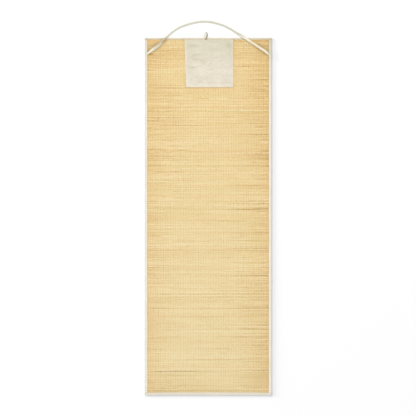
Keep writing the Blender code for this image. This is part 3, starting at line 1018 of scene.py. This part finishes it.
def linear(*channels):
    """An 8-bit display colour as a linear one."""
    shares = [channel / 255 for channel in channels]
    return (*[x / 12.92 if x <= 0.04045 else ((x + 0.055) / 1.055) ** 2.4 for x in shares], 1.0)


def mixed(share, low, high):
    made = node(share.id_data, "Mix", {"data_type": "RGBA"})
    for index, value in zip((0, 6, 7), (share, low, high)):
        feed(made.inputs[index], value)
    return made.outputs[2]


def tinted(colour, *tints):
    """The colour, mixed with one display colour after another, each by its share."""
    for share, tint in tints:
        colour = mixed(share, colour, linear(*tint))
    return colour


def new_group(name, inputs, outputs):
    """An empty node group that takes a place and numbers, and puts out masks and heights."""
    tree = bpy.data.node_groups.new(name, "ShaderNodeTree")
    tree.interface.new_socket(name="Place", in_out="INPUT", socket_type="NodeSocketVector")
    for label in inputs:
        tree.interface.new_socket(name=label, in_out="INPUT", socket_type="NodeSocketFloat")
    for label in outputs:
        tree.interface.new_socket(name=label, in_out="OUTPUT", socket_type="NodeSocketFloat")
    return tree, tree.nodes.new("NodeGroupInput").outputs, tree.nodes.new("NodeGroupOutput").inputs


def woven_group():
    """Plain weave: threads that pass over and under each other along the place's first two measures."""
    _, given, out = new_group("plain_weave", ("Threads", "Unevenness"), ("Height", "Hollow"))
    slub = noise(stretched(given["Place"], (60, 60, 60)), 2.0, Scale=1.0)
    shift = times(slub, given["Unevenness"])
    parts = axes(given["Place"])
    lines = [maths("MULTIPLY_ADD", parts[axis], given["Threads"], shift) for axis in "XY"]
    waves = [maths("SINE", times(line, math.pi)) for line in lines]
    ridges = [times(wave, wave) for wave in waves]
    count = maths("ADD", *[maths("FLOOR", line) for line in lines])
    turn = maths("FLOORED_MODULO", count, 2.0)
    back = maths("SUBTRACT", 1.0, turn)
    over = times(ridges[0], turn)
    feed(out["Height"], maths("MULTIPLY_ADD", ridges[1], back, over))
    feed(out["Hollow"], maths("SUBTRACT", 1.0, maths("MAXIMUM", *ridges)))


def mottle_group():
    """Soft uneven patches, 0 to 1, of a given size in metres."""
    _, given, out = new_group("mottle", ("Size", "Low", "High"), ("Share",))
    cloud = noise(given["Place"], 3.0, Scale=maths("DIVIDE", 1.0, given["Size"]))
    feed(out["Share"], ranged(cloud, given["Low"], given["High"]))


def fibre_group():
    """Fine streaks along the place's first measure, as in plant stems and spun threads."""
    tree, given, out = new_group("fibre", ("Along", "Across"), ("Streak", "Speck", "Fleck"))
    parts = axes(given["Place"])
    long = times(parts["X"], given["Along"])
    wide = times(parts["Y"], given["Across"])
    pulled = node(tree, "CombineXYZ", X=long, Y=wide, Z=parts["Z"]).outputs["Vector"]
    fine = times(parts["X"], times(given["Along"], 10.0))
    marks = node(tree, "CombineXYZ", X=fine, Y=times(wide, 0.12), Z=parts["Z"]).outputs["Vector"]
    specks = noise(marks, 1.0, Scale=1.0)
    feed(out["Streak"], noise(pulled, 3.0, Scale=1.0, Roughness=0.6))
    feed(out["Speck"], ranged(specks, 0.62, 0.76))
    feed(out["Fleck"], specks)


def use(name, place, **inputs):
    group = bpy.data.node_groups[name]
    return node(place.id_data, "Group", {"node_tree": group}, Place=place, **inputs).outputs


def mottled(place, size, low=0.3, high=0.7):
    return use("mottle", place, Size=size, Low=low, High=high)["Share"]


def blank(name, roughness, sheen=0.0):
    """A new material with its tree and shader."""
    material = bpy.data.materials.new(name)
    material.use_nodes = True
    shader = material.node_tree.nodes["Principled BSDF"].inputs
    shader["Roughness"].default_value = roughness
    shader["Specular IOR Level"].default_value = 0.3
    shader["Sheen Weight"].default_value = sheen
    return material, material.node_tree, shader


def coat(shader, colour, height, distance, strength=1.0):
    """Gives the shader its colour and its fine relief."""
    relief = node(height.id_data, "Bump", Height=height, Distance=distance, Strength=strength)
    feed(shader["Base Color"], colour)
    feed(shader["Normal"], relief.outputs["Normal"])


def dimple_shade(place, along):
    """Painted shade in the dimples where the warp threads press the straw: dark in the middle of each line,
    in some patches of the mat.
    """
    first = (MAT_WIDTH / 2 - STEM_INSET) / WARP_PITCH
    line = maths("MULTIPLY_ADD", along, 1 / (WARP_PITCH * MM), first)
    wave = maths("COSINE", times(line, 2 * math.pi))
    pressed = mottled(stretched(place, (1, 3, 1)), 0.11, 0.5, 0.62)
    return times(ranged(wave, 0.1, 1.0), pressed)


def straw_material():
    """Dried stems: long streaks from the rows' own tones, with fine fibre and a few darker joints."""
    material, tree, shader = blank("straw_stems", 0.55)
    place = object_place(tree)
    x, y, _ = axes(place)
    side = maths("ABSOLUTE", x)
    own = node(tree, "CombineXYZ", X=x, Y=y, Z=attribute(tree, "row")).outputs["Vector"]
    fibre = use("fibre", own, Along=22.0, Across=1500.0)
    darkness = added(
        maths("MULTIPLY_ADD", attribute(tree, "tone"), 0.083, 0.39),
        (ranged(side, 0.12, 0.30), 0.04),
        (ranged(side, 0.20, 0.30), 0.07),
        (ranged(x, 0.05, 0.30), 0.075),
        (ranged(y, 0.0, 0.50), 0.035),
        (ranged(x, 0.276, 0.283), 0.09),
        (ranged(y, 0.80, 0.835), 0.02),
        (mottled(place, 0.16), 0.05),
        (fibre["Streak"], 0.16),
        (fibre["Fleck"], 0.33),
        # Painted shade where the warp threads press the straw.
        (dimple_shade(place, x), 0.06),
    )
    ramp = node(tree, "ValToRGB", Fac=maths("ADD", darkness, -0.26))
    stops = ramp.color_ramp.elements
    stops[0].color = linear(252, 236, 196)
    stops[1].color = linear(168, 130, 76)
    for at, colour in ((0.30, (243, 221, 171)), (0.48, (234, 206, 149)), (0.72, (214, 180, 118))):
        stops.new(at).color = linear(*colour)
    hue = attribute(tree, "hue")
    edge = ranged(side, 0.276, 0.299, 0.3)
    colour = tinted(
        ramp.outputs["Color"],
        (ranged(hue, 0.2, 2.4, 0.4), (224, 210, 140)),
        (ranged(hue, -0.2, -2.4, 0.4), (240, 196, 134)),
        (times(fibre["Speck"], 0.25), (176, 134, 82)),
        (ranged(y, 0.75, -0.85, 0.33), (214, 203, 166)),
        (maths("ADD", ranged(side, 0.18, 0.28, 0.08), edge), (238, 188, 112)),
        # Painted shade on the straw beside the strap.
        (attribute(tree, "rub"), (160, 136, 84)),
    )
    feed(shader["Roughness"], ranged(fibre["Streak"], 0.2, 0.8, 0.68, 0.42))
    coat(shader, colour, fibre["Streak"], 0.0002, 0.6)
    return material


def yarn_material():
    """The warp threads, thin natural twine."""
    material, tree, shader = blank("warp_twine", 0.85)
    place = object_place(tree)
    twist = node(tree, "Mapping", Vector=place, Rotation=(0, 0, math.radians(62))).outputs["Vector"]
    fibre = use("fibre", twist, Along=60.0, Across=2600.0)
    colour = tinted(
        linear(214, 190, 140),
        (mottled(place, 0.04), (200, 175, 126)),
        (ranged(attribute(tree, "tone"), -0.4, 2.6), (142, 114, 70)),
        (fibre["Streak"], (180, 154, 108)),
    )
    coat(shader, colour, fibre["Streak"], 0.0002)
    return material


def stitch_material():
    """Sewing thread with its twist."""
    material, tree, shader = blank("sewing_thread", 0.7, 0.1)
    fibre = use("fibre", object_place(tree), Along=900.0, Across=900.0)
    colour = tinted(linear(244, 238, 224), (fibre["Streak"], (214, 206, 186)))
    coat(shader, colour, fibre["Streak"], 0.0001)
    return material


def cloth_material(cloth):
    """Cotton cloth in plain weave, unevenly bleached, with painted shade in the weave's hollows, and worn and
    shaded places a little darker.
    """
    material, tree, shader = blank(cloth.name, 0.88, 0.15)
    solid = object_place(tree)
    place = cloth_place(tree) if cloth.mapped else solid
    weave = use("plain_weave", place, Threads=cloth.threads, Unevenness=0.5)
    fine = mottled(solid, 0.012)
    wide = times(mottled(solid, 0.07, 0.38, 0.66), 0.55)
    bleached = maths("MULTIPLY_ADD", fine, 0.45, wide)
    colour = cloth.aged(tinted(linear(*cloth.light), (bleached, cloth.dark)), tree)
    # Painted shade in the weave's hollows.
    colour = tinted(colour, (times(weave["Hollow"], 0.5), cloth.soil))
    feed(shader["Roughness"], ranged(weave["Height"], 0.0, 1.0, 0.82, 0.95))
    coat(shader, colour, weave["Height"], 0.00025, 0.7)
    return material


def aged_and_shaded_canvas(colour, tree):
    """The patch's greyer head end, its uneven yarns, its smudges, partly painted shade in its creases, and
    its paler hem.
    """
    place = object_place(tree)
    slubs = noise(stretched(place, (40, 230, 1)), 2.0, Scale=1.0)
    return tinted(
        colour,
        (ranged(axes(place)["Y"], 0.69, 0.80, 0.6), (223, 216, 190)),
        (ranged(slubs, 0.45, 0.75, 0.34), (196, 189, 166)),
        # Soil, and painted shade in the creases.
        (times(attribute(tree, "smudge"), 0.62), (198, 192, 166)),
        (times(attribute(tree, "hem"), 0.4), (246, 240, 220)),
    )


def aged_and_shaded_ends(colour, tree):
    """The greyer tapes at the head and the foot, the side tapes' soil near the head, the grey of the side
    tapes' folds, a painted shade, and the paler foot fold, a painted light.
    """
    x, y, _ = axes(object_place(tree))
    head = times(ranged(y, 0.838, 0.841), ranged(x, 0.1, 0.3, 0.6, 0.38))
    ends = maths("ADD", head, ranged(y, -0.836, -0.842, 0.45))
    # Over the foot tape's outer fold most of that grey is taken off again: painted light on the fold.
    ends = maths("SUBTRACT", ends, ranged(y, -0.843, -0.847, 0.4))
    side = ranged(maths("ABSOLUTE", x), 0.2860, 0.2875)
    soil = times(ranged(y, 0.56, 0.76, 0.2), side)
    seat = times(ranged(y, 0.760, 0.774, 0.3), side)
    soil = maths("MULTIPLY_ADD", seat, ranged(x, 0.0, 0.1, 1.0, 0.1), soil)
    # The grey of the folds is painted shade, more on the right.
    left = ranged(x, -0.2965, -0.3015, 0.35)
    folds = maths("ADD", ranged(x, 0.2935, 0.3015, 0.65), left)
    return tinted(colour, (ends, (204, 192, 162)), (soil, (192, 186, 146)), (folds, (192, 195, 191)))


def shaded_and_greyed_strap(colour, tree):
    """The strap's painted shade on its stretch near the left corner and on two lower edges, its greyer right
    end, and its greyer length on the floor.
    """
    x, y, _ = axes(object_place(tree))
    girth = axes(cloth_place(tree))["Y"]
    # Painted shade: the stretch near the left corner that turns from the light, and two lower edges.
    corner = times(between(x, -0.274, -0.250, -0.212, -0.185), 0.5)
    bend = between(x, -0.224, -0.214, -0.202, -0.195)
    crossing = between(x, 0.152, 0.160, 0.176, 0.186)
    return tinted(
        colour,
        (corner, (190, 178, 138)),
        (ranged(x, 0.279, 0.288, 0.5), (188, 184, 150)),
        (times(ranged(girth, 0.0104, 0.0130), bend), (138, 128, 88)),
        (times(ranged(girth, 0.0130, 0.0150, 0.75), crossing), (138, 128, 88)),
        (ranged(y, 0.848, 0.862, 0.42), (191, 202, 196)),
    )


def shaded_loop(colour, tree):
    """Painted shade on the loop: its darker right limb, and the dark inner edges of its feet."""
    x, y, _ = axes(object_place(tree))
    # Painted shade on the right limb and between the feet.
    right = times(ranged(x, -0.0120, -0.0085), ranged(y, 0.850, 0.856))
    feet = between(x, -0.0190, -0.0165, -0.0100, -0.0075)
    feet = times(feet, ranged(y, 0.8470, 0.8430))
    return tinted(
        colour,
        (ranged(x, -0.0165, -0.0105, 0.85), (164, 156, 128)),
        (maths("ADD", right, feet), (112, 102, 72)),
    )


# Cloths: light and dark colour, the colour of the painted shade in the weave's hollows, threads to a metre,
# whether the weave follows the piece's own map, and what wears each and paints shade on it.
Cloth = namedtuple("Cloth", "name light dark soil threads mapped aged")
CLOTHS = rows_of(
    Cloth,
    ("binding_cloth", (251, 245, 231), (239, 231, 210), (204, 195, 172), 1100.0, True, aged_and_shaded_ends),
    ("patch_cloth", (250, 242, 226), (229, 220, 199), (190, 183, 162), 900.0, False, aged_and_shaded_canvas),
    ("strap_cloth", (254, 247, 229), (246, 238, 215), (204, 194, 166), 700.0, True, shaded_and_greyed_strap),
    ("loop_cloth", (250, 246, 228), (236, 228, 204), (196, 188, 160), 900.0, True, shaded_loop),
)


def floor_material():
    material, tree, shader = blank("pale_floor", 0.8)
    wide = mottled(object_place(tree), 0.6)
    pale, worn = ((*[FLOOR_PALE * share] * 3, 1) for share in (1.0, FLOOR_WORN))
    feed(shader["Base Color"], mixed(wide, pale, worn))
    return material


# The studio.

FLOOR_HALF = 12.0
CAMERA_HEIGHT = 5.0
VIEW_WIDTH = 1.980
VIEW_MIDDLE = (-0.0019, 0.0397)
SENSOR = 36.0
# Lamps: the bearing that each shines from, its height above the horizon, its distance, size and power.
Lamp = namedtuple("Lamp", "name bearing height distance width tall power")
MAT_LAMPS = (
    Lamp("mat_softbox", 112, 42, 30.0, 9.0, 9.0, 2400),
    Lamp("fill_softbox", 285, 60, 30.0, 9.0, 9.0, 1240),
)
FLOOR_LAMPS = (
    Lamp("head_softbox", 100, 18, 30.0, 7.5, 7.5, 5750),
    Lamp("corner_softbox", 132, 25, 30.0, 6.0, 6.0, 2100),
    Lamp("low_softbox", 160, 8, 30.0, 10.0, 6.5, 10400),
)
SKY = 0.78
FLOOR_PALE = 0.83
FLOOR_WORN = 0.995


def floor():
    bm = bmesh.new()
    bmesh.ops.create_grid(bm, x_segments=2, y_segments=2, size=FLOOR_HALF)
    ground = linked("floor", mesh_from("floor", bm))
    return ground


def softbox(lamp):
    data = bpy.data.lights.new(lamp.name, "AREA")
    data.shape = "RECTANGLE"
    data.size = lamp.width
    data.size_y = lamp.tall
    data.energy = lamp.power
    light = linked(lamp.name, data)
    bearing, height = math.radians(lamp.bearing), math.radians(lamp.height)
    flat = lamp.distance * math.cos(height)
    light.location = flat * math.cos(bearing), flat * math.sin(bearing), lamp.distance * math.sin(height)
    light.rotation_euler = light.location.to_track_quat("Z", "Y").to_euler()
    light.visible_camera = False
    return light


def grouped(name, pieces):
    group = bpy.data.collections.new(name)
    for piece in pieces:
        group.objects.link(piece)
    return group


def studio(ground, pieces, edges):
    """Two lamps for the mat and three for the floor, which only the mat's edges shade."""
    lit_mat = grouped("lit_mat", pieces)
    for lamp in MAT_LAMPS:
        softbox(lamp).light_linking.receiver_collection = lit_mat
    lit_floor = grouped("lit_floor", [ground])
    shading = grouped("shading_edges", edges)
    for lamp in FLOOR_LAMPS:
        light = softbox(lamp)
        light.light_linking.receiver_collection = lit_floor
        light.light_linking.blocker_collection = shading
    world = bpy.data.worlds.new("studio")
    world.use_nodes = True
    sky = world.node_tree.nodes["Background"].inputs
    sky["Color"].default_value = (1, 1, 1, 1)
    sky["Strength"].default_value = SKY
    bpy.context.scene.world = world
    bpy.context.scene.view_settings.view_transform = "Standard"
    data = bpy.data.cameras.new("camera")
    data.sensor_width = SENSOR
    data.lens = SENSOR * CAMERA_HEIGHT / VIEW_WIDTH
    data.clip_end = 100
    camera = linked("camera", data)
    camera.location = (*VIEW_MIDDLE, CAMERA_HEIGHT)
    bpy.context.scene.camera = camera


def main():
    rng = np.random.default_rng(WEAVE_SEED)
    woven_group()
    mottle_group()
    fibre_group()
    straw = straw_material()
    yarn = yarn_material()
    binding, canvas, webbing, loop_cloth = [cloth_material(cloth) for cloth in CLOTHS]
    thread = stitch_material()
    stems, warp = straw_weave(rng, straw, yarn)

    left = side_tape("left_binding_tape", -1, LEFT_LEG, LEFT_SEAT_Y, rng, binding)
    right = side_tape("right_binding_tape", 1, RIGHT_LEG, RIGHT_SEAT_Y, rng, binding)
    head = end_tape("head_binding_tape", head_edge, -1, HEAD_LEG, patch_seat_lift, HEAD_DENTS, rng, binding)
    foot = end_tape("foot_binding_tape", foot_edge, 1, FOOT_LEG, no_lift, FOOT_DENTS, rng, binding)
    patch = canvas_patch(canvas)
    seams = patch_seams(thread)
    strap, strap_length = flat_tape("carrying_strap", STRAP, webbing)
    loop, _ = flat_tape("head_loop", LOOP, loop_cloth)
    for piece, replaced, slot in (
        (left, "side_binding_left", "binding_tape"),
        (right, "side_binding_right", "binding_tape"),
        (head, "head_binding", "binding_tape"),
        (foot, "foot_binding", "binding_tape"),
        (strap, "carry_strap", "strap_webbing"),
        (loop, "closing_loop", "loop_tape"),
    ):
        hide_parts(replaced)
    stitches = binding_seams(thread)

    ground = floor()
    ground.data.materials.append(floor_material())
    edges = [left, right, head, foot]
    studio(ground, [stems, warp, *edges, patch, seams, strap, loop, stitches], edges)


main()
